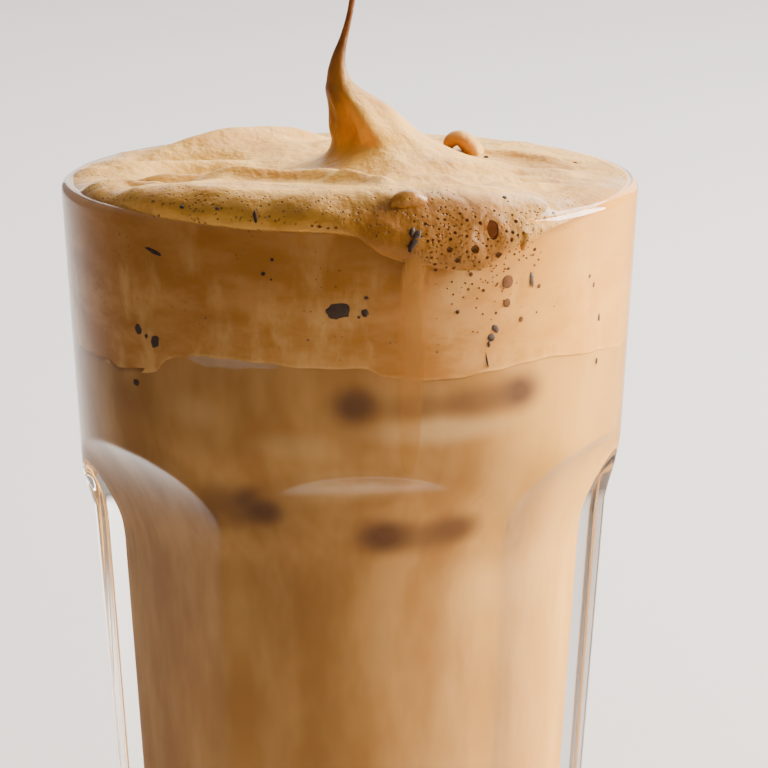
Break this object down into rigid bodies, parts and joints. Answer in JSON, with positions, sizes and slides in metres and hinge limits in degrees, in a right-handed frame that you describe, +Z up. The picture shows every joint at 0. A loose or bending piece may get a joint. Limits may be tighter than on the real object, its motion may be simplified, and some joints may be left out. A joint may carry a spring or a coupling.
{
  "type": "iced coffee",
  "caption": "Milky iced coffee with a thick foam top and drawn-out peak, in a tall clear glass tumbler with a plain band over arch-topped panels.",
  "frame": {"origin": "centre of the foot of the glass", "axes": "+Z up along the glass's axis, -Y towards the side where the foam runs over the rim"},
  "size_m": [0.0864, 0.0867, 0.1612],
  "materials": {
    "glass": "clear pressed glass, smooth",
    "coffee": "opaque milky coffee, stands in for a liquid",
    "foam": "whipped coffee foam, satin, stands in for a soft foam"
  },
  "bodies": {
    "root": {"glass": "glass", "coffee": "coffee", "foam": "foam"}
  },
  "joints": []
}
